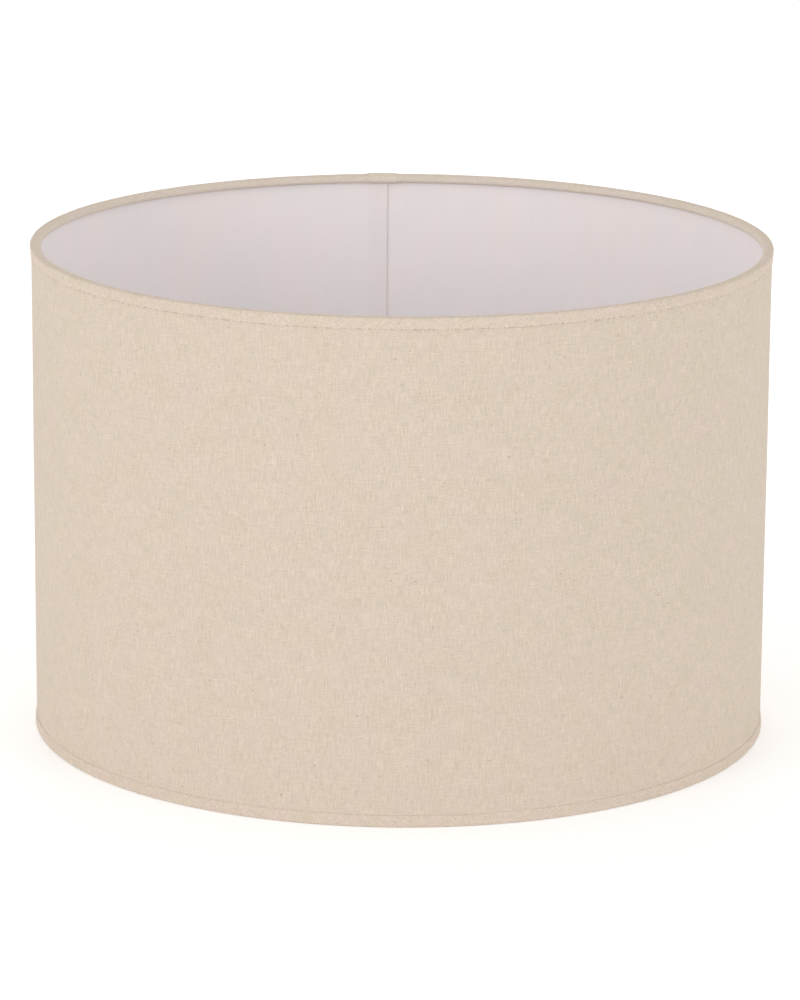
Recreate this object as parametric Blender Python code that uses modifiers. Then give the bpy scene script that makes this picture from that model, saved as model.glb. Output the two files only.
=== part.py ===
"""Drum lamp shade: a laminated cloth panel on two wire rings, with a three-armed fitter.

The frame is in metres with +Z up. The origin is the centre of the lower rim, on the
surface that the shade stands on. Bearings are measured from +Y, the back of the shade,
towards +X, and the panel's lap is at the back.
"""
import math

import bmesh
import bpy
from mathutils import Matrix, Vector

# The drum, measured over its rim tapes.
DRUM_DIAMETER = 0.450
DRUM_HEIGHT = 0.300

# The laminated panel and its lap at the back.
COVER_THICKNESS = 0.0005
LINER_THICKNESS = 0.0004
SEAM_TAPE_THICKNESS = 0.0002
PANEL_LAP = 0.0125
LAP_INNER_EDGE = -0.0098      # the inner end's place along the back, from the middle
LAP_RAMP = 0.010              # length over which the outer end climbs onto the inner one
LAP_EASE = 0.0010             # full height is kept this far past each end
SEAM_TAPE_MARGIN = 0.0010     # the tape stops this short of both ends

# The tapes rolled over the rims.
TRIM_THICKNESS = 0.0005
TRIM_LEG = 0.0074             # height of the tape on the outside of the panel
TRIM_INNER_LEG = 0.0058       # height of the tape inside, where it is stuck to the lining

# The wire frame.
RING_WIRE = 0.0035
ARM_WIRE = 0.0030
ARM_COUNT = 3
ARM_FIRST_ANGLE = math.radians(90)  # the first arm points to the back
ARM_FOOT = 0.008              # level run inwards from the ring before the arm climbs
ARM_BEND_RADIUS = 0.006
ARM_WELD_LENGTH = 0.0035      # how far each arm lies on the fitter ring

# The fitter and its loose reducer.
FITTER_BORE = 0.043
FITTER_THICKNESS = 0.0016
FITTER_RECESS = 0.022         # height of the fitter's underside above the lower rim
HOLDER_BORE = 0.029
REDUCER_LIP = 0.0023          # how far the lip reaches past the bore
REDUCER_THICKNESS = 0.0012
REDUCER_COLLAR = 0.0016       # wall of the collar that drops into the bore

# Clearances.
GAP = 0.0003                  # between pieces that touch
LIP_TO_ARM = 0.0007           # from the reducer's lip to the arms' ends
SNIP_CLEARANCE = 0.0005       # round each arm where the lower tape is cut away
SNIP_OVERRUN = 0.0010         # how far the cut runs past the tape

# How finely round shapes are faceted, and how near two points are one.
DRUM_FACETS = 72
TRIM_WRAP_SIDES = 5
WIRE_SIDES = 8
FITTER_FACETS = 48
BEND_STEPS = 4
MERGE_DISTANCE = 0.00001

# Radii of the panel's layers, from the outside in.
TRIM_LEG_RADIUS = DRUM_DIAMETER / 2 - TRIM_THICKNESS
COVER_OUTER = TRIM_LEG_RADIUS - GAP
COVER_INNER = COVER_OUTER - COVER_THICKNESS
LINER_OUTER = COVER_INNER - GAP
LINER_INNER = LINER_OUTER - LINER_THICKNESS
RING_RADIUS = LINER_INNER - GAP - RING_WIRE / 2
SEAM_TAPE_INNER = COVER_OUTER + GAP
LAP_LIFT = SEAM_TAPE_INNER + SEAM_TAPE_THICKNESS + GAP - LINER_INNER

# Heights.
PANEL_BOTTOM = TRIM_THICKNESS + GAP
PANEL_TOP = DRUM_HEIGHT - PANEL_BOTTOM
BOTTOM_RING_HEIGHT = PANEL_BOTTOM + RING_WIRE / 2
TOP_RING_HEIGHT = PANEL_TOP - RING_WIRE / 2
FITTER_TOP = FITTER_RECESS + FITTER_THICKNESS
ARM_LEVEL = FITTER_TOP + GAP + ARM_WIRE / 2
LIP_BOTTOM = FITTER_TOP + GAP

# The fitter ring is wide enough for the reducer's lip and the arms' welds.
LIP_RADIUS = FITTER_BORE / 2 + REDUCER_LIP
ARM_END_RADIUS = LIP_RADIUS + LIP_TO_ARM
FITTER_RADIUS = ARM_END_RADIUS + ARM_WELD_LENGTH

# The lap's bearings: the inner end, the outer end, and where the layers are level again.
FACET_ANGLE = 2 * math.pi / DRUM_FACETS
INNER_END = LAP_INNER_EDGE / COVER_OUTER
OUTER_END = (LAP_INNER_EDGE - PANEL_LAP) / COVER_OUTER
CLIMB_START = INNER_END + LAP_EASE / COVER_OUTER
CLIMB_END = CLIMB_START + LAP_RAMP / COVER_OUTER
DROP_END = OUTER_END - LAP_EASE / COVER_OUTER
DROP_START = DROP_END - LAP_RAMP / COVER_OUTER


def clear_scene():
    """Remove every object that the file opened with."""
    for obj in list(bpy.data.objects):
        bpy.data.objects.remove(obj, do_unlink=True)


def new_collection(name):
    """A collection of this name, linked to the scene."""
    collection = bpy.data.collections.new(name)
    bpy.context.scene.collection.children.link(collection)
    return collection


def make_material(name, colour, roughness, metallic=0.0):
    """A Principled material of one colour."""
    material = bpy.data.materials.new(name)
    material.use_nodes = True
    shader = material.node_tree.nodes["Principled BSDF"]
    shader.inputs["Base Color"].default_value = (*colour, 1.0)
    shader.inputs["Roughness"].default_value = roughness
    shader.inputs["Metallic"].default_value = metallic
    return material


def add_object(name, data, collection, material=None):
    """An object of this name with this mesh or curve, in this collection."""
    obj = bpy.data.objects.new(name, data)
    collection.objects.link(obj)
    if material:
        data.materials.append(material)
    return obj


def finish_mesh(bm, name):
    """The bmesh as a mesh, smooth on its round sides and sharp at its edges."""
    mesh = bpy.data.meshes.new(name)
    bm.to_mesh(mesh)
    bm.free()
    mesh.shade_smooth()
    mesh.set_sharp_from_angle(angle=math.radians(30))
    return mesh


def faceted(radius, bearing):
    """Distance from the axis to the drum's facets at a bearing, for corners at radius."""
    half = FACET_ANGLE / 2
    return radius * math.cos(half) / math.cos(bearing % FACET_ANGLE - half)


def at_bearing(radius, bearing, height):
    """The point at a bearing and a height on facets whose corners are at radius."""
    reach = faceted(radius, bearing)
    return (reach * math.sin(bearing), reach * math.cos(bearing), height)


def stations(start, end, extra):
    """The bearings of the drum's corners from start to end, with the extra ones."""
    corners = range(math.ceil(start / FACET_ANGLE), math.floor(end / FACET_ANGLE) + 1)
    found = {round(FACET_ANGLE * corner, 9) for corner in corners}
    found |= {round(bearing, 9) for bearing in (start, end, *extra)}
    return sorted(found)


def panel_lift(bearing):
    """How far the panel stands out at a bearing: the full lift on its outer end, then none."""
    climb = (CLIMB_END - bearing) / (CLIMB_END - CLIMB_START)
    return LAP_LIFT * min(1.0, max(0.0, climb))


def trim_lift(bearing):
    """How far a rim tape stands out at a bearing, to pass over the panel's lap."""
    drop = (bearing - DROP_START) / (DROP_END - DROP_START)
    return min(panel_lift(bearing), LAP_LIFT * min(1.0, max(0.0, drop)))


def no_lift(bearing):
    """The lift of a piece that lies on its layer all the way, at any bearing."""
    return 0.0


def roll_sheet(outline, bearings, lift):
    """Roll a flat grid round the drum: across it run bearings, up it the outline's points.

    Each point of the outline is a radius, a height and its share of the lift.
    """
    bm = bmesh.new()
    across, along = len(bearings) - 1, len(outline) - 1
    bmesh.ops.create_grid(bm, x_segments=across, y_segments=along, size=1.0)
    for index, vert in enumerate(bm.verts):
        row, column = divmod(index, len(bearings))
        radius, height, share = outline[row]
        bearing = bearings[column]
        vert.co = at_bearing(radius + share * lift(bearing), bearing, height)
    return bm


def thicken(obj, thickness):
    """Give an open surface its thickness, wholly behind its faces."""
    modifier = obj.modifiers.new("thickness", "SOLIDIFY")
    modifier.thickness = thickness
    modifier.offset = -1.0
    modifier.use_even_offset = True
    modifier.use_quality_normals = True


def make_strip(name, radius, thickness, ends, lift, parts, material):
    """A strip of the panel's height, rolled round at an outer radius between two bearings."""
    outline = [(radius, PANEL_TOP, 1.0), (radius, PANEL_BOTTOM, 1.0)]
    turns = [bearing for bearing in (INNER_END, CLIMB_START, CLIMB_END) if bearing < ends[1]]
    bm = roll_sheet(outline, stations(*ends, turns), lift)
    obj = add_object(name, finish_mesh(bm, name), parts, material)
    thicken(obj, thickness)


def make_panel(parts):
    """The outer cloth and the lining, both lapped at the back, and the tape in the lap."""
    cloth = make_material("undyed_cloth", (0.74, 0.66, 0.54), 0.95)
    lining = make_material("white_lining", (0.86, 0.85, 0.84), 0.55)
    glue = make_material("clear_tape", (0.80, 0.80, 0.76), 0.35)
    around = (OUTER_END, INNER_END + 2 * math.pi)
    make_strip("fabric_cover", COVER_OUTER, COVER_THICKNESS, around, panel_lift, parts, cloth)
    make_strip("liner_panel", LINER_OUTER, LINER_THICKNESS, around, panel_lift, parts, lining)
    margin = SEAM_TAPE_MARGIN / COVER_OUTER
    within = (OUTER_END + margin, INNER_END - margin)
    outer = SEAM_TAPE_INNER + SEAM_TAPE_THICKNESS
    make_strip("seam_tape", outer, SEAM_TAPE_THICKNESS, within, no_lift, parts, glue)


def trim_outline():
    """The upper tape's inner face: up the panel, over it, round the ring and onto the lining.

    From its last touch on the ring, the tape runs straight to where it is stuck down.
    """
    foot = Vector((LINER_INNER - GAP, DRUM_HEIGHT - TRIM_INNER_LEG))
    down = foot - Vector((RING_RADIUS, TOP_RING_HEIGHT))
    around = RING_WIRE / 2 + GAP
    last_touch = 2 * math.pi + math.atan2(down.y, down.x) - math.acos(around / down.length)
    step = (last_touch - math.pi / 2) / TRIM_WRAP_SIDES
    reach = around / math.cos(step / 2)
    outline = [
        (TRIM_LEG_RADIUS, DRUM_HEIGHT - TRIM_LEG, 1.0),
        (TRIM_LEG_RADIUS, DRUM_HEIGHT - TRIM_THICKNESS, 1.0),
    ]
    for side in range(TRIM_WRAP_SIDES):
        angle = math.pi / 2 + step * (side + 0.5)
        radius = RING_RADIUS + reach * math.cos(angle)
        outline.append((radius, TOP_RING_HEIGHT + reach * math.sin(angle), 0.0))
    return outline + [(foot.x, foot.y, 0.0)]


def make_trim(name, outline, parts, material):
    """A cloth tape rolled over one rim and its ring, raised over the lap."""
    turns = (DROP_START, DROP_END, CLIMB_START, CLIMB_END)
    bm = roll_sheet(outline, stations(-math.pi, math.pi, turns), trim_lift)
    bmesh.ops.remove_doubles(bm, verts=bm.verts, dist=MERGE_DISTANCE)
    obj = add_object(name, finish_mesh(bm, name), parts, material)
    thicken(obj, TRIM_THICKNESS)
    return obj


def arm_turn(number):
    """The turn about the drum's axis that takes the +X direction to an arm's."""
    return Matrix.Rotation(ARM_FIRST_ANGLE + number * 2 * math.pi / ARM_COUNT, 4, "Z")


def make_snips(cutters):
    """The cutter that opens the lower tape's inner side round each arm."""
    snip = ARM_WIRE / 2 + SNIP_CLEARANCE
    low = BOTTOM_RING_HEIGHT - snip
    high = TRIM_INNER_LEG + SNIP_OVERRUN
    near = RING_RADIUS - RING_WIRE / 2 - GAP - TRIM_THICKNESS - SNIP_OVERRUN
    size = Matrix.Diagonal((LINER_INNER - near, 2 * snip, high - low, 1.0))
    place = Matrix.Translation(((LINER_INNER + near) / 2, 0.0, (low + high) / 2))
    bm = bmesh.new()
    for number in range(ARM_COUNT):
        bmesh.ops.create_cube(bm, size=1.0, matrix=arm_turn(number) @ place @ size)
    cutter = add_object("arm_snips", finish_mesh(bm, "arm_snips"), cutters)
    cutter.hide_render = True
    cutter.display_type = "WIRE"
    return cutter


def make_trims(parts, cutters):
    """Both rim tapes, the lower one snipped where the arms leave the ring."""
    cloth = make_material("rim_tape_cloth", (0.70, 0.61, 0.49), 0.95)
    upper = trim_outline()
    lower = [(radius, DRUM_HEIGHT - height, share) for radius, height, share in upper[::-1]]
    make_trim("top_trim", upper, parts, cloth)
    bottom = make_trim("bottom_trim", lower, parts, cloth)
    snips = bottom.modifiers.new("snips", "BOOLEAN")
    snips.operation = "DIFFERENCE"
    snips.object = make_snips(cutters)


def make_ring(name, height, parts, material):
    """A round wire ring of the frame."""
    bpy.ops.mesh.primitive_torus_add(
        major_radius=RING_RADIUS,
        minor_radius=RING_WIRE / 2,
        major_segments=DRUM_FACETS,
        minor_segments=WIRE_SIDES,
        location=(0.0, 0.0, height),
    )
    ring = bpy.context.active_object
    bpy.context.collection.objects.unlink(ring)
    parts.objects.link(ring)
    ring.name = name
    ring.data.name = name
    ring.data.shade_smooth()
    ring.data.materials.append(material)


def bend(before, corner, after):
    """The points of the round bend at a corner of an arm's path."""
    arrive = (corner - before).normalized()
    leave = (after - corner).normalized()
    turn = arrive.angle(leave)
    inward = (leave - arrive * leave.dot(arrive)).normalized() * ARM_BEND_RADIUS
    centre = corner - arrive * ARM_BEND_RADIUS * math.tan(turn / 2) + inward
    angles = [turn * step / BEND_STEPS for step in range(BEND_STEPS + 1)]
    ahead = arrive * ARM_BEND_RADIUS
    return [centre - inward * math.cos(angle) + ahead * math.sin(angle) for angle in angles]


def arm_path():
    """An arm's centre line: level from the ring, up, and level onto the fitter ring."""
    start = RING_RADIUS - RING_WIRE / 2 - GAP
    climb = ARM_LEVEL - BOTTOM_RING_HEIGHT
    corners = [
        Vector((start, 0.0, BOTTOM_RING_HEIGHT)),
        Vector((start - ARM_FOOT, 0.0, BOTTOM_RING_HEIGHT)),
        Vector((start - ARM_FOOT - climb, 0.0, ARM_LEVEL)),
        Vector((ARM_END_RADIUS, 0.0, ARM_LEVEL)),
    ]
    path = [corners[0]]
    for before, corner, after in zip(corners, corners[1:], corners[2:]):
        path += bend(before, corner, after)
    return path + [corners[-1]]


def make_arm(number, parts, material):
    """One wire arm from the lower ring to the fitter ring."""
    name = f"fitter_arm_{number + 1}"
    curve = bpy.data.curves.new(name, "CURVE")
    curve.dimensions = "3D"
    curve.bevel_depth = ARM_WIRE / 2
    curve.bevel_resolution = 2
    curve.render_resolution_u = 0
    curve.use_fill_caps = True
    path = arm_path()
    spline = curve.splines.new("POLY")
    spline.points.add(len(path) - 1)
    for point, place in zip(spline.points, path):
        point.co = (*place, 1.0)
    arm = add_object(name, curve, parts, material)
    arm.matrix_world = arm_turn(number)


def make_turned(name, outline, height, parts, material):
    """A closed outline of (radius, height) turned about the drum's axis."""
    bm = bmesh.new()
    verts = [bm.verts.new((radius, 0.0, up)) for radius, up in outline]
    for pair in zip(verts, verts[1:] + verts[:1]):
        bm.edges.new(pair)
    mesh = bpy.data.meshes.new(name)
    bm.to_mesh(mesh)
    bm.free()
    piece = add_object(name, mesh, parts, material)
    piece.location.z = height
    turn = piece.modifiers.new("turn", "SCREW")
    turn.steps = FITTER_FACETS
    turn.render_steps = FITTER_FACETS
    turn.use_merge_vertices = True
    turn.merge_threshold = MERGE_DISTANCE


def make_fitter(parts, steel):
    """The arms, the steel ring on their ends and the loose plastic reducer in its bore."""
    plastic = make_material("white_plastic", (0.82, 0.82, 0.80), 0.35)
    for number in range(ARM_COUNT):
        make_arm(number, parts, steel)
    bore = FITTER_BORE / 2
    ring = [
        (FITTER_RADIUS, FITTER_THICKNESS),
        (FITTER_RADIUS, 0.0),
        (bore, 0.0),
        (bore, FITTER_THICKNESS),
    ]
    make_turned("fitter_ring", ring, FITTER_RECESS, parts, steel)
    collar = bore - GAP
    depth = LIP_BOTTOM - FITTER_RECESS
    reducer = [
        (LIP_RADIUS, REDUCER_THICKNESS),
        (LIP_RADIUS, 0.0),
        (collar, 0.0),
        (collar, -depth),
        (collar - REDUCER_COLLAR, -depth),
        (collar - REDUCER_COLLAR, 0.0),
        (HOLDER_BORE / 2, 0.0),
        (HOLDER_BORE / 2, REDUCER_THICKNESS),
    ]
    make_turned("reducer_ring", reducer, LIP_BOTTOM, parts, plastic)


def main():
    """Build the lamp shade."""
    clear_scene()
    parts = new_collection("drum_lamp_shade")
    cutters = new_collection("cutters")
    steel = make_material("white_coated_steel", (0.80, 0.80, 0.79), 0.40, 0.1)
    make_panel(parts)
    make_ring("top_ring", TOP_RING_HEIGHT, parts, steel)
    make_ring("bottom_ring", BOTTOM_RING_HEIGHT, parts, steel)
    make_trims(parts, cutters)
    make_fitter(parts, steel)


main()
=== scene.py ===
"""The looks of a drum lamp shade: laminated cloth on two wire rings, with a three-armed fitter.

Metres, +Z up. Bearings run from +Y, the back of the shade, towards +X. Every sheet is cut
flat, with its own map in metres, and is then rolled round the drum.
"""
import math

import bmesh
import bpy
from mathutils import Matrix, Vector, noise


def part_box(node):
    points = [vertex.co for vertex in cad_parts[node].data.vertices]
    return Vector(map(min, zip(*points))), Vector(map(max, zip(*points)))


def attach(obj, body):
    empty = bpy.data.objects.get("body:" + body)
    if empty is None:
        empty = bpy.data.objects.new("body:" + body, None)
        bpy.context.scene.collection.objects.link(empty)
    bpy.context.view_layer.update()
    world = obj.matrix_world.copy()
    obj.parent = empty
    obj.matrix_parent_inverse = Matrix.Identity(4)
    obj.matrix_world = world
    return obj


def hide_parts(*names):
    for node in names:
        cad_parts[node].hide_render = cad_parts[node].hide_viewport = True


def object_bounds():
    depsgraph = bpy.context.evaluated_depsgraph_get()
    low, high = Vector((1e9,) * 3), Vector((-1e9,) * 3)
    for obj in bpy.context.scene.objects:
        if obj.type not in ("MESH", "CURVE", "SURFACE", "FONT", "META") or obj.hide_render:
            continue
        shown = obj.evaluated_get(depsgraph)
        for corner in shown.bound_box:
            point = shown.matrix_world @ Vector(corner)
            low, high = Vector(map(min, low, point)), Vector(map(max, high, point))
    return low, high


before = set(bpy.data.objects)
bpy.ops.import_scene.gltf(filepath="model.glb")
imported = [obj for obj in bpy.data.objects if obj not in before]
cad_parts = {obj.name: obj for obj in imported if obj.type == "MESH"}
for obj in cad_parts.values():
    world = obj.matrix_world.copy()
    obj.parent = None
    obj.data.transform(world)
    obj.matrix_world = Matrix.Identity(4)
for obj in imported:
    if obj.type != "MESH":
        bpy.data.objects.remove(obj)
cad_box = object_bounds()

CLOTH_MAP = "cut"             # the flat cut's own map, in metres
MILLIMETRES = 1000.0

# What the frame holds: the panel, its lap, the tapes and the wire.
PANEL_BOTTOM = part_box("fabric_cover")[0].z
PANEL_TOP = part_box("fabric_cover")[1].z
COVER_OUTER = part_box("fabric_cover")[1].x
TRIM_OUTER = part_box("top_trim")[1].x
RIM_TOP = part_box("top_trim")[1].z
EDGE_RISE = 0.0004            # the visible cut edge lies this much nearer the rim
TRIM_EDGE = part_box("top_trim")[0].z + EDGE_RISE
RING_WIRE = (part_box("top_ring")[1].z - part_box("top_ring")[0].z) / 2
RING_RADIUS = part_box("top_ring")[1].x - RING_WIRE
TOP_RING_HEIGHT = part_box("top_ring")[1].z - RING_WIRE
BOTTOM_RING_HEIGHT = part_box("bottom_ring")[0].z + RING_WIRE
DRUM_HEIGHT = RIM_TOP

# The panel's layers. They lie closer together than the solids of the frame do.
COVER_THICKNESS = 0.00048
LINER_THICKNESS = 0.00040
LAYER_GAP = 0.00003
LINER_OUTER = COVER_OUTER - COVER_THICKNESS - LAYER_GAP
LINER_INNER = LINER_OUTER - LINER_THICKNESS
SEAM_FILM = 0.00008

# The panel's lap, from the tape inside it.
SEAM_MARGIN = 0.0010
LAP_INNER_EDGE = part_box("seam_tape")[1].x + SEAM_MARGIN
LAP_OUTER_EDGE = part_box("seam_tape")[0].x - SEAM_MARGIN
LAP_RAMP = 0.010
LAP_EASE = 0.0010
LAP_LIFT = COVER_OUTER - LINER_INNER + SEAM_FILM + 2 * LAYER_GAP
INNER_END = LAP_INNER_EDGE / COVER_OUTER
OUTER_END = LAP_OUTER_EDGE / COVER_OUTER

# The rim tapes: their own lap, their roll and their cut edge.
TAPE_THICKNESS = 0.00038
PRESSED_THICKNESS = 0.00020   # the lower tape, which is pressed flatter
TAPE_LAP_START = -0.0053      # where the under end starts, across the back
TAPE_LAP_RAMP = 0.0035
TAPE_LAP_EASE = 0.020         # length over which the lower tape's under end comes level
TAPE_CORNER = 0.0011
TAPE_TUCK = math.radians(74)  # how far the tape follows the ring on its under side
TAPE_RAMP = 0.0045            # length over which a tape climbs onto the panel's outer end
EDGE_STRAY_WIDTH = 0.004      # how far in from its cut edge a tape wanders

# A tape's unevenness: its size, and how quickly it changes round the drum and across the
# tape. Its cut edge's wandering: its size, how quickly it changes, and a number of its own.
TAPE_LUMPS = ((0.00010, 22.0, 300.0), (0.00004, 90.0, 900.0))
EDGE_STRAYS = ((0.00030, 9.0, 3.0), (0.00022, 130.0, 7.0))
SNIP_CLEARANCE = 0.0007
SNIP_START = math.radians(25)  # where a snip starts, from the ring's underside

# The fitter, its arms and the reducer.
FITTER_BORE = 0.043
HOLDER_BORE = 0.029
REDUCER_THICKNESS = 0.0012
REDUCER_COLLAR = 0.0016
COLLAR_GAP = 0.0003
FITTER_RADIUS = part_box("fitter_ring")[1].x
FITTER_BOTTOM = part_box("fitter_ring")[0].z
FITTER_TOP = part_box("fitter_ring")[1].z
LIP_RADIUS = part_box("reducer_ring")[1].x
LIP_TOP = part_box("reducer_ring")[1].z
COLLAR_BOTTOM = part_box("reducer_ring")[0].z
ARM_COUNT = 3
ARM_WIRE = 0.0015
ARM_FOOT = 0.008
ARM_BEND = 0.006
ARM_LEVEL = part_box("fitter_arm_1")[1].z - ARM_WIRE
ARM_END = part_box("fitter_arm_1")[0].y
ARM_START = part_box("fitter_arm_1")[1].y


# ---------------------------------------------------------------- materials

class Finish:
    """One material, with short calls that add its nodes."""

    def __init__(self, name, roughness, **values):
        self.material = bpy.data.materials.new(name)
        self.material.use_nodes = True
        self.nodes = self.material.node_tree.nodes
        self.links = self.material.node_tree.links
        self.shader = self.nodes["Principled BSDF"]
        self.join(roughness, self.shader.inputs["Roughness"])
        for socket, value in values.items():
            self.shader.inputs[socket.replace("_", " ")].default_value = value

    def join(self, value, socket):
        """Link an output to a socket, or set the socket's own value."""
        if isinstance(value, bpy.types.NodeSocket):
            self.links.new(value, socket)
        else:
            socket.default_value = value

    def add(self, kind, *inputs, **settings):
        """A node of this kind with its settings and its first inputs."""
        node = self.nodes.new("ShaderNode" + kind)
        for setting, value in settings.items():
            setattr(node, setting, value)
        for value, socket in zip(inputs, node.inputs):
            if value is not None:
                self.join(value, socket)
        return node

    def math(self, operation, *values):
        """The result of one math operation."""
        return self.add("Math", *values, operation=operation).outputs[0]

    def total(self, *terms):
        """The sum of several values."""
        result = terms[0]
        for term in terms[1:]:
            result = self.math("ADD", result, term)
        return result

    def step(self, value, low, high):
        """0 below low and 1 above high, with a soft rise between."""
        node = self.add("MapRange", value, low, high, interpolation_type="SMOOTHSTEP")
        return node.outputs[0]

    def place(self, source, across, up, turn=0.0):
        """The map's place in cells of these sizes, in millimetres."""
        node = self.add("Mapping", source)
        node.inputs["Rotation"].default_value = (0.0, 0.0, turn)
        node.inputs["Scale"].default_value = (1.0 / across, 1.0 / up, 1.0)
        return node.outputs[0]

    def cloud(self, source, detail=1.0, shift=0.0):
        """Soft noise from about 0.25 to 0.75, in cells of one."""
        node = self.add("TexNoise", source, noise_dimensions="3D")
        node.inputs["Scale"].default_value = 1.0
        node.inputs["Detail"].default_value = detail
        if shift:
            moved = self.add("VectorMath", source, (shift, shift * 0.7, shift * 1.3))
            self.join(moved.outputs[0], node.inputs["Vector"])
        return node.outputs[0]

    def around(self, value, amount):
        """A value that swings about 0.5, made to swing about nothing by this amount."""
        return self.math("MULTIPLY", self.math("SUBTRACT", value, 0.5), amount)

    def blend(self, share, first, second):
        """A colour between two colours."""
        node = self.add("Mix", data_type="RGBA")
        self.join(share, node.inputs["Factor"])
        self.join(first, node.inputs["A"])
        self.join(second, node.inputs["B"])
        return node.outputs["Result"]

    def shade(self, colour, level):
        """A colour made lighter or darker by a level around 1."""
        if isinstance(colour, tuple):
            colour = colour[:3]
        node = self.add("VectorMath", colour, operation="SCALE")
        self.join(level, node.inputs["Scale"])
        return node.outputs[0]

    def relief(self, height, depth, strength=1.0):
        """Raise the surface by a height from 0 to 1 times depth, in metres."""
        node = self.add("Bump")
        node.inputs["Strength"].default_value = strength
        node.inputs["Distance"].default_value = depth
        self.join(height, node.inputs["Height"])
        self.join(node.outputs[0], self.shader.inputs["Normal"])

    def coat(self, colour, roughness=None):
        """Give the shader its colour and, if it varies, its roughness."""
        self.join(colour, self.shader.inputs["Base Color"])
        if roughness is not None:
            self.join(roughness, self.shader.inputs["Roughness"])

    def in_millimetres(self, source):
        """A place in metres, turned to millimetres."""
        node = self.add("VectorMath", source, operation="SCALE")
        node.inputs["Scale"].default_value = MILLIMETRES
        return node.outputs[0]

    def flat_map(self):
        """The cut's own map, in millimetres."""
        return self.in_millimetres(self.add("UVMap", uv_map=CLOTH_MAP).outputs[0])

    def solid_map(self):
        """The place in the piece, in millimetres."""
        return self.in_millimetres(self.add("TexCoord").outputs["Object"])


def tone(red, green, blue):
    """A colour given in display levels, as the shader takes it."""
    levels = (red / 255.0, green / 255.0, blue / 255.0)
    return tuple(((level + 0.055) / 1.055) ** 2.4 for level in levels) + (1.0,)


YARN_PITCH = 0.46             # millimetres from one yarn to the next
YARN_DRIFT = 1.6              # how far a yarn wanders sideways, in millimetres
YARN_RUN = 8.0                # how long a yarn keeps its tone, in millimetres
BIAS = math.radians(45)       # how the tapes' cloth is turned

STRAW = tone(203, 189, 171)
ROSE = tone(204, 189, 175)
SHEEN = tone(235, 225, 210)
FLECK = tone(150, 118, 84)
TAPE_STRAW = tone(205, 191, 172)
TAPE_ROSE = tone(208, 191, 178)
# painted light, towards which the tape's roll and inward side are blended
INWARD_PAINTED_LIGHT = tone(240, 232, 222)
# painted shadow along the tapes' cut edges
EDGE_SHADOW_TONE = tone(132, 110, 82)
LINING_COOL = tone(231, 226, 227)
LINING_WARM = tone(233, 225, 224)
CLEAR_FILM = tone(226, 224, 214)
COATED_WHITE = tone(230, 230, 227)
MOULDED_WHITE = tone(234, 234, 229)
FLOOR_WHITE = tone(247, 247, 247)

# Where the painted shade over the lining's doubled lap fades out, in millimetres from its inner end.
PAINTED_SHADE_FADE_START = 10.5
PAINTED_SHADE_FADE_END = 14.5

# Dark bits in the cloth: millimetres from cell to cell, the share of cells that hold one,
# its rough radius in millimetres and how strongly it shows.
FLECK_KINDS = (
    (11.0, 0.42, 0.50, 0.62),
    (7.0, 0.40, 0.62, 0.30),
    (3.2, 0.40, 0.42, 0.18),
)


def weave(paint, cut, turn):
    """The plain weave's crowns, and where each yarn lies, in millimetres."""
    turned = paint.place(cut, 1.0, 1.0, turn)
    drift = paint.add("TexNoise", turned)
    drift.inputs["Scale"].default_value = 0.09
    drift.inputs["Detail"].default_value = 1.0
    centred = paint.add("VectorMath", drift.outputs["Color"], (0.5, 0.5, 0.5), operation="SUBTRACT")
    swing = paint.add("VectorMath", centred.outputs[0], operation="SCALE")
    swing.inputs["Scale"].default_value = YARN_DRIFT
    yarns = paint.add("VectorMath", turned, swing.outputs[0]).outputs[0]
    parts = paint.add("SeparateXYZ", yarns)
    waves = []
    for axis in (0, 1):
        angle = paint.math("MULTIPLY", parts.outputs[axis], math.pi / YARN_PITCH)
        waves.append(paint.math("SINE", angle))
    crossing = paint.math("ABSOLUTE", paint.math("MULTIPLY", *waves))
    return paint.math("POWER", crossing, 0.6), yarns


def flecks(paint, yarns, spacing, share, size):
    """Small bits of seed husk, in a share of the cells of this spacing."""
    cells = paint.add("TexVoronoi", paint.place(yarns, spacing, spacing))
    cells.inputs["Scale"].default_value = 1.0
    dot = paint.step(cells.outputs["Distance"], size * 1.6 / spacing, size * 0.6 / spacing)
    pick = paint.add("SeparateXYZ", cells.outputs["Color"]).outputs[0]
    return paint.math("MULTIPLY", dot, paint.step(pick, 1.0 - share, 1.0 - share * 0.6))


def yarn_tones(paint, yarns, length):
    """How thick each yarn runs, up and across, and the slubs in both, all from 0 to 1."""
    upright = paint.cloud(paint.place(yarns, 0.55, length), 1.0)
    across = paint.cloud(paint.place(yarns, length * 0.8, 0.55), 1.0, 31.0)
    slub_up = paint.step(paint.cloud(paint.place(yarns, 0.8, length * 1.2), 0.0, 57.0), 0.62, 0.76)
    slub_across = paint.step(
        paint.cloud(paint.place(yarns, length, 0.8), 0.0, 83.0), 0.64, 0.78)
    return upright, across, slub_up, slub_across


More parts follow.
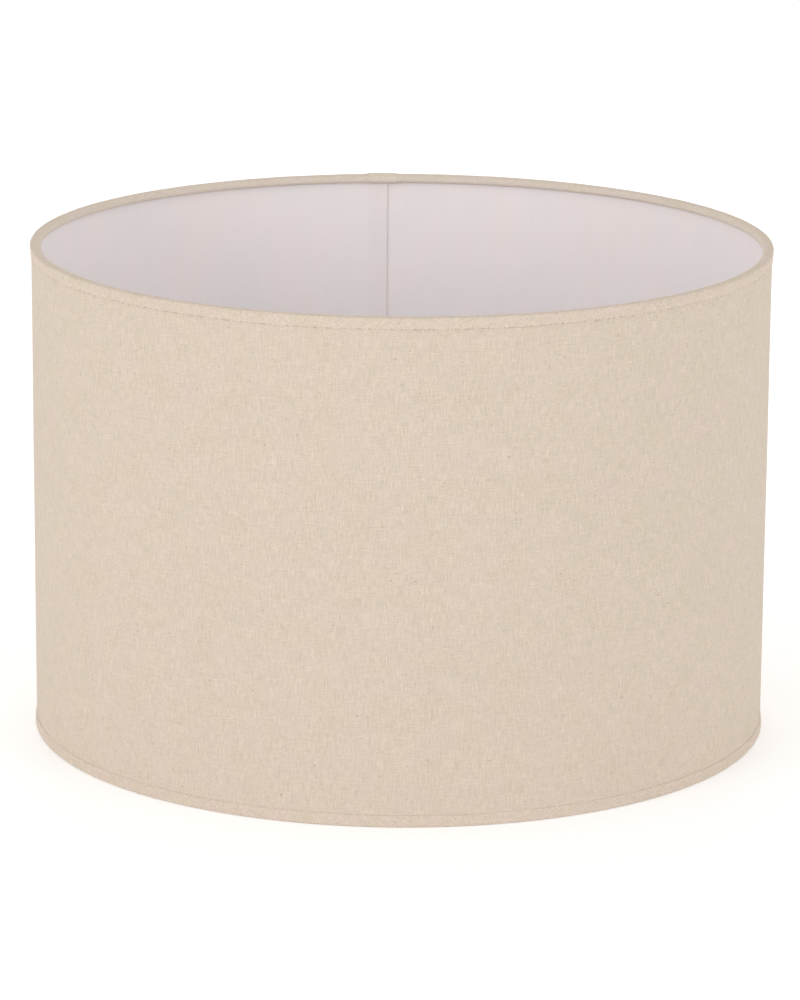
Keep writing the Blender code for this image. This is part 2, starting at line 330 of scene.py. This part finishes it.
def linen(name, warm, cool, turn, streaks, specks):
    """Undyed cloth: its colour, its relief and its yarns' crowns.

    Streaks are the tones along the yarns, and specks are those of the fibres in them.
    """
    paint = Finish(name, 0.9, Sheen_Weight=0.05, Sheen_Roughness=0.45, Specular_IOR_Level=0.25)
    paint.shader.inputs["Sheen Tint"].default_value = SHEEN
    cut = paint.flat_map()
    crowns, yarns = weave(paint, cut, turn)
    upright, across, slub_up, slub_across = yarn_tones(paint, yarns, YARN_RUN)
    patches = paint.step(paint.cloud(paint.place(cut, 22.0, 26.0), 2.0), 0.30, 0.70)
    grain = paint.cloud(paint.place(yarns, 1.1, 1.2), 2.0, 12.0)
    fibre = paint.cloud(paint.place(yarns, 0.7, 0.7), 1.0, 71.0)
    wide = paint.cloud(paint.place(cut, 60.0, 50.0), 1.0, 5.0)
    level = paint.total(
        1.0,
        paint.around(upright, 0.32 * streaks),
        paint.around(across, 0.20 * streaks),
        paint.around(grain, 0.15 * specks),
        paint.around(fibre, 0.24 * specks),
        paint.around(wide, 0.02),
        paint.around(crowns, 0.10),
        paint.math("MULTIPLY", slub_up, 0.05 * streaks),
        paint.math("MULTIPLY", slub_across, 0.05 * streaks),
    )
    colour = paint.shade(paint.blend(patches, warm, cool), level)
    for spacing, share, size, strength in FLECK_KINDS:
        dots = flecks(paint, yarns, spacing, share, size)
        colour = paint.blend(paint.math("MULTIPLY", dots, strength), colour, FLECK)
    height = paint.total(
        paint.math("MULTIPLY", crowns, 0.45),
        paint.math("MULTIPLY", upright, 0.35),
        paint.math("MULTIPLY", across, 0.25),
        paint.math("MULTIPLY", fibre, 0.20),
        paint.math("MULTIPLY", slub_up, 0.35),
        paint.math("MULTIPLY", slub_across, 0.30),
    )
    return paint, colour, height, crowns


def cover_finish():
    """The cloth of the panel, woven square to the rims."""
    paint, colour, height, crowns = linen("undyed_cloth", STRAW, ROSE, 0.0, 1.0, 1.0)
    paint.coat(colour, paint.total(0.86, paint.math("MULTIPLY", crowns, 0.08)))
    paint.relief(height, 0.00018, 0.8)
    return paint.material


def tape_finish(name, edge_shadow):
    """The cloth of a rim tape, cut on the bias, with painted shadow dots along its cut edge.

    The outer end, which lies on the under end, is a little lighter, partly from its stretched
    cloth and partly as painted highlight. The roll's top and inward side carry painted light.
    """
    paint, colour, height, crowns = linen(name, TAPE_STRAW, TAPE_ROSE, BIAS, 0.7, 1.7)
    place = paint.add("SeparateXYZ", paint.flat_map())
    outer_end = MILLIMETRES * (TAPE_LENGTH - TAPE_LAP_START + LAP_OUTER_EDGE)
    # partly stretched cloth, partly painted highlight: the outer end is made 7% lighter
    lighter_end_and_highlight = paint.step(place.outputs[0], outer_end - 2.0, outer_end + 1.0)
    colour = paint.shade(colour, paint.total(1.0, paint.math("MULTIPLY", lighter_end_and_highlight, 0.07)))
    # painted light: from the middle of its crown round its inward side, the roll is blended towards a
    # pale tone
    painted_light_from = MILLIMETRES * (LEG_RUN + CORNER_RUN + CROWN_RUN / 2)
    painted_light_to = MILLIMETRES * (LEG_RUN + CORNER_RUN + CROWN_RUN + WRAP_RUN)
    inward_light_share = paint.math("MULTIPLY", paint.step(place.outputs[1], painted_light_from, painted_light_to), 0.52)
    colour = paint.blend(inward_light_share, colour, INWARD_PAINTED_LIGHT)
    # painted shadow: dark dots along the cut edge, where shade falls under the edge
    near = paint.step(place.outputs[1], 0.70, 0.25)
    shadow_dots = paint.step(paint.cloud(paint.place(paint.flat_map(), 1.0, 3.0), 0.0, 9.0), 0.46, 0.62)
    edge = paint.math("MULTIPLY", paint.math("MULTIPLY", near, shadow_dots), edge_shadow)
    colour = paint.blend(edge, colour, EDGE_SHADOW_TONE)
    paint.coat(colour, paint.total(0.86, paint.math("MULTIPLY", crowns, 0.08)))
    paint.relief(height, 0.00020, 0.9)
    return paint.material


def lining_finish():
    """The white film inside, with a band of painted shade where the panel is doubled."""
    paint = Finish("white_lining", 0.5, Specular_IOR_Level=0.3)
    cut = paint.flat_map()
    patches = paint.cloud(paint.place(cut, 40.0, 60.0), 2.0)
    streaks = paint.cloud(paint.place(cut, 3.0, 26.0), 2.0, 21.0)
    grain = paint.cloud(paint.place(cut, 0.7, 0.7), 1.0, 44.0)
    across = paint.add("SeparateXYZ", cut).outputs[0]
    # painted shade: the lining is made darker over the doubled lap, for the light that it holds back
    doubled_lap_shade = paint.step(across, PAINTED_SHADE_FADE_END, PAINTED_SHADE_FADE_START)
    level = paint.total(
        1.0,
        paint.around(patches, 0.03),
        paint.around(streaks, 0.03),
        paint.around(grain, 0.02),
        paint.math("MULTIPLY", doubled_lap_shade, -0.025),
    )
    tint = paint.blend(paint.step(patches, 0.30, 0.70), LINING_COOL, LINING_WARM)
    paint.coat(paint.shade(tint, level), paint.total(0.45, paint.around(streaks, 0.2)))
    paint.relief(paint.total(grain, streaks), 0.00003, 0.5)
    return paint.material


def film_finish():
    """The clear adhesive film in the lap."""
    paint = Finish("clear_tape", 0.35)
    cut = paint.flat_map()
    smears = paint.cloud(paint.place(cut, 4.0, 12.0), 2.0)
    paint.coat(paint.shade(CLEAR_FILM, paint.total(1.0, paint.around(smears, 0.1))))
    return paint.material


def steel_finish():
    """White powder coat on steel: a fine orange peel, a little uneven in tone and gloss."""
    paint = Finish("white_coated_steel", 0.38, Coat_Weight=0.15, Coat_Roughness=0.3)
    place = paint.solid_map()
    peel = paint.cloud(paint.place(place, 0.8, 0.8), 1.0)
    worn = paint.cloud(paint.place(place, 9.0, 9.0), 3.0, 17.0)
    colour = paint.shade(COATED_WHITE, paint.total(1.0, paint.around(worn, 0.06)))
    paint.coat(colour, paint.total(0.36, paint.around(worn, 0.25)))
    paint.relief(peel, 0.00004, 0.6)
    return paint.material


def plastic_finish():
    """White moulded plastic, faintly mottled."""
    paint = Finish("white_plastic", 0.35)
    place = paint.solid_map()
    flow = paint.cloud(paint.place(place, 6.0, 6.0), 2.0)
    grain = paint.cloud(paint.place(place, 0.35, 0.35), 1.0, 6.0)
    colour = paint.shade(MOULDED_WHITE, paint.total(1.0, paint.around(flow, 0.04)))
    paint.coat(colour, paint.total(0.34, paint.around(flow, 0.15), paint.around(grain, 0.1)))
    paint.relief(grain, 0.00002, 0.5)
    return paint.material


# ---------------------------------------------------------------- making pieces

def ease(value):
    """0 below 0 and 1 above 1, with a soft rise between."""
    held = min(1.0, max(0.0, value))
    return held * held * (3.0 - 2.0 * held)


def rolled(radius, bearing, height):
    """The point at a radius, a bearing and a height."""
    return Vector((radius * math.sin(bearing), radius * math.cos(bearing), height))


def even_rows(width, count):
    """Evenly spaced rows across a width."""
    return [width * row / count for row in range(count + 1)]


def flat_cut(length, rows, along):
    """A flat cut of this length, with a row of points at each of these widths, and its map."""
    bm = bmesh.new()
    across = len(rows) - 1
    bmesh.ops.create_grid(bm, x_segments=along, y_segments=across, size=0.5)
    for vert in bm.verts:
        vert.co.x = (vert.co.x + 0.5) * length
        vert.co.y = rows[round((vert.co.y + 0.5) * across)]
    chart = bm.loops.layers.uv.new(CLOTH_MAP)
    for face in bm.faces:
        for loop in face.loops:
            loop[chart].uv = loop.vert.co.xy
    return bm


def make_piece(name, bm, material, body, nodes, sharp=35.0):
    """Finish a piece: its mesh, its material, its body and what it stands for."""
    mesh = bpy.data.meshes.new(name)
    bm.to_mesh(mesh)
    bm.free()
    mesh.shade_smooth()
    mesh.set_sharp_from_angle(angle=math.radians(sharp))
    mesh.materials.append(material)
    piece = bpy.data.objects.new(name, mesh)
    bpy.context.scene.collection.objects.link(piece)
    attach(piece, body)
    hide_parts(*nodes)
    return piece


def thicken(piece, thickness):
    """Give a sheet its thickness, behind its outer face, with a crisp cut edge."""
    modifier = piece.modifiers.new("thickness", "SOLIDIFY")
    modifier.thickness = thickness
    modifier.offset = -1.0
    modifier.use_quality_normals = True
    graph = bpy.context.evaluated_depsgraph_get()
    mesh = bpy.data.meshes.new_from_object(piece.evaluated_get(graph))
    piece.modifiers.clear()
    mesh.shade_smooth()
    mesh.set_sharp_from_angle(angle=math.radians(50))
    piece.data = mesh


# ---------------------------------------------------------------- the panel

PANEL_ROWS = 40
PANEL_COLUMNS = 420
FILM_COLUMNS = 8
PANEL_WAVE = 0.00012


def panel_lift(bearing):
    """How far the panel stands out: on its outer end, which lies on its inner one."""
    start = INNER_END + LAP_EASE / COVER_OUTER
    return LAP_LIFT * ease((start + LAP_RAMP / COVER_OUTER - bearing) * COVER_OUTER / LAP_RAMP)


def panel_wave(bearing, height):
    """The slight unevenness of a laminated panel, the same for all its layers."""
    place = Vector((math.sin(bearing) * 5.0, math.cos(bearing) * 5.0, height * 14.0))
    return PANEL_WAVE * noise.noise(place)


def make_layer(name, radius, thickness, material):
    """One layer of the panel, rolled from its inner end round to its outer end."""
    length = (2.0 * math.pi + INNER_END - OUTER_END) * radius
    bm = flat_cut(length, even_rows(PANEL_TOP - PANEL_BOTTOM, PANEL_ROWS), PANEL_COLUMNS)
    for vert in bm.verts:
        bearing = INNER_END + 2.0 * math.pi - vert.co.x / radius
        height = PANEL_BOTTOM + vert.co.y
        reach = radius + panel_lift(bearing) + panel_wave(bearing, height)
        vert.co = rolled(reach, bearing, height)
    piece = make_piece(name, bm, material, "shade", [name.replace("_sheet", "")])
    thicken(piece, thickness)
    return piece, (length, PANEL_TOP - PANEL_BOTTOM)


def make_panel():
    """The cover, the lining and the film between the lap's ends."""
    cover, cover_cut = make_layer(
        "fabric_cover_sheet", COVER_OUTER, COVER_THICKNESS, cover_finish())
    liner, liner_cut = make_layer(
        "liner_panel_sheet", LINER_OUTER, LINER_THICKNESS, lining_finish())
    width = LAP_INNER_EDGE - LAP_OUTER_EDGE - 2.0 * SEAM_MARGIN
    radius = COVER_OUTER + LAYER_GAP + SEAM_FILM
    bm = flat_cut(width, even_rows(PANEL_TOP - PANEL_BOTTOM, PANEL_ROWS), FILM_COLUMNS)
    for vert in bm.verts:
        bearing = INNER_END - (SEAM_MARGIN + vert.co.x) / radius
        height = PANEL_BOTTOM + vert.co.y
        vert.co = rolled(radius + panel_wave(bearing, height), bearing, height)
    film = make_piece("seam_film", bm, film_finish(), "shade", ["seam_tape"])
    thicken(film, SEAM_FILM)


# ---------------------------------------------------------------- the rim tapes

WRAP_RADIUS = RIM_TOP - TOP_RING_HEIGHT
LEG_RUN = RIM_TOP - TAPE_CORNER - TRIM_EDGE
CORNER_RUN = TAPE_CORNER * math.pi / 2
CROWN_RUN = TRIM_OUTER - TAPE_CORNER - RING_RADIUS
WRAP_TURN = math.pi / 2 + TAPE_TUCK
WRAP_RUN = WRAP_RADIUS * WRAP_TURN
WRAP_END = RING_RADIUS - WRAP_RADIUS * math.cos(TAPE_TUCK)
FOOT_RUN = (LINER_INNER - TAPE_THICKNESS - WRAP_END) / math.sin(TAPE_TUCK)

# The upper tape's outer face from its lower edge: how long each stretch is, how far it
# turns, and how many rows of the mesh it takes.
TAPE_STRETCHES = (
    (LEG_RUN, 0.0, 9),
    (CORNER_RUN, math.pi / 2, 5),
    (CROWN_RUN, 0.0, 3),
    (WRAP_RUN, WRAP_TURN, 12),
    (FOOT_RUN, 0.0, 4),
)
TAPE_COLUMNS = 1100
TAPE_START = TAPE_LAP_START / TRIM_OUTER
TAPE_LENGTH = (2.0 * math.pi + TAPE_START - OUTER_END) * TRIM_OUTER


def tape_rows():
    """The rows across a tape's width."""
    rows = [0.0]
    for length, _, count in TAPE_STRETCHES:
        rows += [rows[-1] + part for part in even_rows(length, count)[1:]]
    return rows


def tape_section(run, thickness):
    """The upper tape's section: a place, its outward direction and its share of the bulge.

    The run is the distance from the tape's lower edge, along its outer face. The thickness
    is how far that edge stands out from the cover.
    """
    share = 1.0 - ease((run - LEG_RUN - CORNER_RUN) / CROWN_RUN)
    step_in = COVER_OUTER + LAYER_GAP + thickness - TRIM_OUTER
    lean = step_in * (1.0 - ease(run / LEG_RUN))
    place = Vector((TRIM_OUTER + lean, TRIM_EDGE))
    heading = math.pi / 2
    for length, turn, _ in TAPE_STRETCHES:
        part = min(run, length)
        if turn:
            radius = length / turn
            after = heading + part / radius
            place.x += radius * (math.sin(after) - math.sin(heading))
            place.y += radius * (math.cos(heading) - math.cos(after))
            heading = after
        else:
            place += part * Vector((math.cos(heading), math.sin(heading)))
        run -= part
        if run <= 0.0:
            break
    return place, (math.sin(heading), -math.cos(heading)), share


def tape_bulge(bearing):
    """How far a tape stands out over the panel's lap."""
    across = math.remainder(bearing, 2.0 * math.pi) * COVER_OUTER
    rise = ease((across - LAP_OUTER_EDGE + TAPE_RAMP) / TAPE_RAMP)
    fall = ease((LAP_INNER_EDGE + LAP_EASE + LAP_RAMP - across) / LAP_RAMP)
    return LAP_LIFT * rise * fall


def tape_double(bearing):
    """How far a tape's outer end stands on its under end."""
    past = (TAPE_START - bearing) * TRIM_OUTER
    return (TAPE_THICKNESS + LAYER_GAP) * ease(1.0 + past / TAPE_LAP_RAMP)


def tape_sink(along):
    """How far the lower tape's under end is pressed up, so that the outer end lies level."""
    past = along - (TAPE_LAP_START - LAP_OUTER_EDGE)
    return (TAPE_THICKNESS + LAYER_GAP) * (1.0 - ease(past / TAPE_LAP_EASE))


def tape_point(along, up, thickness, lower, seed):
    """Where a point of the flat tape comes to lie, as if on the upper rim."""
    bearing = TAPE_START + 2.0 * math.pi - along / TRIM_OUTER
    place, out, share = tape_section(up, thickness)
    ring = Vector((math.sin(bearing), math.cos(bearing), 0.0))
    lump = 0.0
    for size, around, across in TAPE_LUMPS:
        lump += size * noise.noise(ring * around + Vector((seed, up * across, 0.0)))
    lift = tape_double(bearing) + lump
    reach = place.x + share * tape_bulge(bearing) + out[0] * lift
    near_edge = ease(1.0 - up / EDGE_STRAY_WIDTH)
    stray = 0.0
    for size, around, layer in EDGE_STRAYS:
        stray += size * noise.noise(ring * around + Vector((seed, layer, 0.0)))
    rise = out[1] * lift
    if lower and out[1] > 0.0:
        rise = out[1] * (min(lump, 0.0) - tape_sink(along))
    return rolled(reach, bearing, place.y + rise + stray * near_edge)


def snip_tape(bm):
    """Cut the lower tape's tucked side away round each arm, while the tape is flat."""
    half = ARM_WIRE + SNIP_CLEARANCE
    flat_half = half * TRIM_OUTER / (RING_RADIUS - WRAP_RADIUS)
    start = LEG_RUN + CORNER_RUN + CROWN_RUN + WRAP_RADIUS * SNIP_START
    for number in range(ARM_COUNT):
        bearing = number * 2.0 * math.pi / ARM_COUNT
        span = 2.0 * math.pi + TAPE_START - bearing
        first = span % (2.0 * math.pi) * TRIM_OUTER
        for centre in (first, first + 2.0 * math.pi * TRIM_OUTER):
            if centre > TAPE_LENGTH + half:
                continue
            for edge in (centre - flat_half, centre + flat_half):
                geom = bm.verts[:] + bm.edges[:] + bm.faces[:]
                bmesh.ops.bisect_plane(
                    bm, geom=geom, dist=1e-6, plane_co=(edge, 0.0, 0.0), plane_no=(1.0, 0.0, 0.0))
            gone = []
            for face in bm.faces:
                middle = face.calc_center_median()
                if abs(middle.x - centre) < flat_half and middle.y > start:
                    gone.append(face)
            bmesh.ops.delete(bm, geom=gone, context="FACES")


def make_tape(name, node, edge_shadow, lower, seed):
    """One rim tape, rolled over its rim and round its ring, with its foot on the lining."""
    thickness = PRESSED_THICKNESS if lower else TAPE_THICKNESS
    rows = tape_rows()
    bm = flat_cut(TAPE_LENGTH, rows, TAPE_COLUMNS)
    if lower:
        snip_tape(bm)
    for vert in bm.verts:
        vert.co = tape_point(vert.co.x, vert.co.y, thickness, lower, seed)
        if lower:
            vert.co.z = DRUM_HEIGHT - vert.co.z
    if lower:
        bmesh.ops.reverse_faces(bm, faces=bm.faces)
    material = tape_finish(name + "_cloth", edge_shadow)
    piece = make_piece(name, bm, material, "shade", [node], sharp=60.0)
    thicken(piece, thickness)


# ---------------------------------------------------------------- wire and fitter

RING_SIDES = 14
RING_STEPS = 240
PLATE_STEPS = 128
PLATE_ROUND = 0.00035
REDUCER_ROUND = 0.00022
ARM_BEND_STEPS = 12
WELD_PRESS = 0.0008           # how far an arm's end is pressed into its ring in the weld
RING_BEAD = (0.0020, 0.0010, 0.0018)
RING_BEAD_IN = 0.0003
PLATE_BEAD = (0.0007, 0.0013, 0.0006)
PLATE_BEAD_IN = 0.0018
PLATE_BEAD_UP = 0.0003
BEAD_UNEVENNESS = 0.12


def turned(outline, steps):
    """A closed outline of (radius, height) spun about the drum's axis."""
    bm = bmesh.new()
    verts = [bm.verts.new((radius, 0.0, height)) for radius, height in outline]
    edges = [bm.edges.new(pair) for pair in zip(verts, verts[1:] + verts[:1])]
    bmesh.ops.spin(
        bm, geom=verts + edges, cent=(0.0, 0.0, 0.0), axis=(0.0, 0.0, 1.0),
        angle=2.0 * math.pi, steps=steps, use_merge=True)
    bmesh.ops.remove_doubles(bm, verts=bm.verts, dist=1e-6)
    bmesh.ops.recalc_face_normals(bm, faces=bm.faces)
    return bm


def round_edges(bm, width, segments):
    """Round every sharp edge of a closed mesh."""
    sharp = [edge for edge in bm.edges if edge.calc_face_angle(0.0) > math.radians(50)]
    bmesh.ops.bevel(
        bm, geom=sharp, offset=width, segments=segments, affect="EDGES", profile=0.5,
        material=-1)


def make_ring(name, height, material):
    """A wire ring of the frame."""
    angles = [2.0 * math.pi * side / RING_SIDES for side in range(RING_SIDES)]
    outline = [(RING_RADIUS + RING_WIRE * math.cos(a), height + RING_WIRE * math.sin(a))
               for a in angles]
    bm = turned(outline, RING_STEPS)
    make_piece(name + "_wire", bm, material, "shade", [name])


def arm_route():
    """An arm's centre line, from its weld on the ring to its weld on the fitter, along +Y."""
    climb = ARM_LEVEL - BOTTOM_RING_HEIGHT
    foot = ARM_START - ARM_FOOT
    corners = [
        Vector((0.0, ARM_START + WELD_PRESS, BOTTOM_RING_HEIGHT)),
        Vector((0.0, foot, BOTTOM_RING_HEIGHT)),
        Vector((0.0, foot - climb, ARM_LEVEL)),
        Vector((0.0, ARM_END, ARM_LEVEL)),
    ]
    route = [corners[0]]
    for before, corner, after in zip(corners, corners[1:], corners[2:]):
        arrive = (corner - before).normalized()
        leave = (after - corner).normalized()
        turn = arrive.angle(leave)
        inward = (leave - arrive * leave.dot(arrive)).normalized() * ARM_BEND
        centre = corner - arrive * ARM_BEND * math.tan(turn / 2) + inward
        for step in range(ARM_BEND_STEPS + 1):
            angle = turn * step / ARM_BEND_STEPS
            route.append(centre - inward * math.cos(angle) + arrive * ARM_BEND * math.sin(angle))
    return route + [corners[-1]]


def wire_mesh(route, radius):
    """A round wire along a route, as a closed bmesh."""
    curve = bpy.data.curves.new("wire", "CURVE")
    curve.dimensions = "3D"
    curve.bevel_depth = radius
    curve.bevel_resolution = 4
    curve.use_fill_caps = True
    spline = curve.splines.new("POLY")
    spline.points.add(len(route) - 1)
    for point, place in zip(spline.points, route):
        point.co = (*place, 1.0)
    holder = bpy.data.objects.new("wire", curve)
    bpy.context.scene.collection.objects.link(holder)
    graph = bpy.context.evaluated_depsgraph_get()
    mesh = bpy.data.meshes.new_from_object(holder.evaluated_get(graph))
    bm = bmesh.new()
    bm.from_mesh(mesh)
    bmesh.ops.remove_doubles(bm, verts=bm.verts, dist=1e-6)
    bpy.data.objects.remove(holder)
    bpy.data.meshes.remove(mesh)
    bpy.data.curves.remove(curve)
    return bm


def add_bead(bm, place, size):
    """A small weld bead: a flattened, slightly uneven ball."""
    made = bmesh.ops.create_icosphere(
        bm, subdivisions=3, radius=1.0,
        matrix=Matrix.Translation(place) @ Matrix.Diagonal((*size, 1.0)))
    for vert in made["verts"]:
        away = vert.co - place
        vert.co += away * BEAD_UNEVENNESS * noise.noise(vert.co * 1400.0)


def make_arm(number, material):
    """One arm with its weld beads."""
    bm = wire_mesh(arm_route(), ARM_WIRE)
    add_bead(bm, Vector((0.0, ARM_START + RING_BEAD_IN, BOTTOM_RING_HEIGHT)), RING_BEAD)
    for side in (-1, 1):
        middle = Vector((side * ARM_WIRE * 0.95, ARM_END + PLATE_BEAD_IN, FITTER_TOP + PLATE_BEAD_UP))
        add_bead(bm, middle, PLATE_BEAD)
    turn = Matrix.Rotation(number * 2.0 * math.pi / ARM_COUNT, 4, "Z")
    bm.transform(turn)
    node = f"fitter_arm_{number + 1}"
    make_piece(node + "_wire", bm, material, "shade", [node])


def make_fitter(steel):
    """The pressed ring that the lamp holder clamps on."""
    bore = FITTER_BORE / 2
    outline = [
        (FITTER_RADIUS, FITTER_TOP), (FITTER_RADIUS, FITTER_BOTTOM),
        (bore, FITTER_BOTTOM), (bore, FITTER_TOP),
    ]
    bm = turned(outline, PLATE_STEPS)
    round_edges(bm, PLATE_ROUND, 3)
    make_piece("fitter_plate", bm, steel, "shade", ["fitter_ring"])


def make_reducer(plastic):
    """The loose plastic ring in the fitter's bore."""
    collar = FITTER_BORE / 2 - COLLAR_GAP
    under = LIP_TOP - REDUCER_THICKNESS
    outline = [
        (LIP_RADIUS, LIP_TOP), (LIP_RADIUS, under), (collar, under), (collar, COLLAR_BOTTOM),
        (collar - REDUCER_COLLAR, COLLAR_BOTTOM), (collar - REDUCER_COLLAR, under),
        (HOLDER_BORE / 2, under), (HOLDER_BORE / 2, LIP_TOP),
    ]
    bm = turned(outline, PLATE_STEPS)
    round_edges(bm, REDUCER_ROUND, 2)
    make_piece("reducer_moulding", bm, plastic, "reducer", ["reducer_ring"])


# ---------------------------------------------------------------- stage

CAMERA_PLACE = (0.0, -2.8085, 0.8534)
CAMERA_PITCH = math.radians(14.302)
CAMERA_ROLL = math.radians(0.411)
CAMERA_LENS = 169.66
LIGHT_TARGET = Vector((0.0, 0.0, 0.15))
LIGHT_DISTANCE = 3.3
LIGHT_SIZE = 1.5
BOXES = (                     # name, bearing from the front and height in degrees, watts
    ("left_box", -45.0, 24.0, 17.6),
    ("right_box", 45.0, 24.0, 11.0),
    ("back_box", 180.0, 45.0, 11.0),
)
SKY_HORIZON = 1.63
SKY_OVERHEAD = 0.70
SKY_FADE = 0.6                # the sine of the height at which the sky is dimmest
FLOOR_GLOW = 0.21
FLOOR_SIZE = 40.0
FLOOR_GAP = 0.0002            # how far the floor lies under the lower rim


def add_camera():
    """The camera, a little above the shade and looking down into it."""
    data = bpy.data.cameras.new("camera")
    data.lens = CAMERA_LENS
    data.sensor_width = 36.0
    camera = bpy.data.objects.new("camera", data)
    bpy.context.scene.collection.objects.link(camera)
    pitch = Matrix.Rotation(math.pi / 2 - CAMERA_PITCH, 4, "X")
    roll = Matrix.Rotation(CAMERA_ROLL, 4, "Z")
    camera.matrix_world = Matrix.Translation(CAMERA_PLACE) @ pitch @ roll
    bpy.context.scene.camera = camera


def add_light(name, bearing, height, power):
    """A square soft box that faces the shade, from a bearing and a height in degrees."""
    turn = math.radians(bearing)
    tilt = math.radians(height)
    level = math.cos(tilt)
    away = Vector((math.sin(turn) * level, -math.cos(turn) * level, math.sin(tilt)))
    data = bpy.data.lights.new(name, "AREA")
    data.size = LIGHT_SIZE
    data.energy = power
    light = bpy.data.objects.new(name, data)
    bpy.context.scene.collection.objects.link(light)
    light.location = LIGHT_TARGET + away * LIGHT_DISTANCE
    light.rotation_euler = away.to_track_quat("Z", "Y").to_euler()


def add_sky():
    """A white studio sky, brightest at the horizon and dim overhead."""
    world = bpy.data.worlds.new("studio")
    world.use_nodes = True
    nodes = world.node_tree.nodes
    links = world.node_tree.links
    background = nodes["Background"]
    background.inputs["Color"].default_value = (1.0, 1.0, 1.0, 1.0)
    direction = nodes.new("ShaderNodeTexCoord")
    height = nodes.new("ShaderNodeSeparateXYZ")
    fade = nodes.new("ShaderNodeMapRange")
    fade.interpolation_type = "SMOOTHSTEP"
    fade.inputs["From Min"].default_value = 0.0
    fade.inputs["From Max"].default_value = SKY_FADE
    fade.inputs["To Min"].default_value = SKY_HORIZON
    fade.inputs["To Max"].default_value = SKY_OVERHEAD
    links.new(direction.outputs["Generated"], height.inputs[0])
    links.new(height.outputs["Z"], fade.inputs["Value"])
    links.new(fade.outputs["Result"], background.inputs["Strength"])
    bpy.context.scene.world = world


def add_floor():
    """A wide, plain pale floor under the shade, lit from below as a light table is."""
    bm = bmesh.new()
    bmesh.ops.create_grid(
        bm, x_segments=1, y_segments=1, size=FLOOR_SIZE,
        matrix=Matrix.Translation((0.0, 0.0, cad_box[0].z - FLOOR_GAP)))
    mesh = bpy.data.meshes.new("floor")
    bm.to_mesh(mesh)
    bm.free()
    paint = Finish("floor", 0.9, Specular_IOR_Level=0.0, Emission_Color=(1.0, 1.0, 1.0, 1.0),
                   Emission_Strength=FLOOR_GLOW)
    paint.coat(FLOOR_WHITE)
    mesh.materials.append(paint.material)
    floor = bpy.data.objects.new("floor", mesh)
    bpy.context.scene.collection.objects.link(floor)


def add_stage():
    """Camera, floor, studio sky and soft boxes."""
    add_camera()
    add_floor()
    add_sky()
    for box in BOXES:
        add_light(*box)
    bpy.context.scene.view_settings.view_transform = "Standard"


add_stage()
make_panel()
# the upper tape's cut edge gets a strong painted shadow; the lower tape's, lit from the floor, gets a
# faint one
make_tape("top_rim_tape", "top_trim", edge_shadow=0.48, lower=False, seed=11.0)
make_tape("bottom_rim_tape", "bottom_trim", edge_shadow=0.05, lower=True, seed=47.0)
steel = steel_finish()
make_ring("top_ring", TOP_RING_HEIGHT, steel)
make_ring("bottom_ring", BOTTOM_RING_HEIGHT, steel)
for arm in range(ARM_COUNT):
    make_arm(arm, steel)
make_fitter(steel)
make_reducer(plastic_finish())
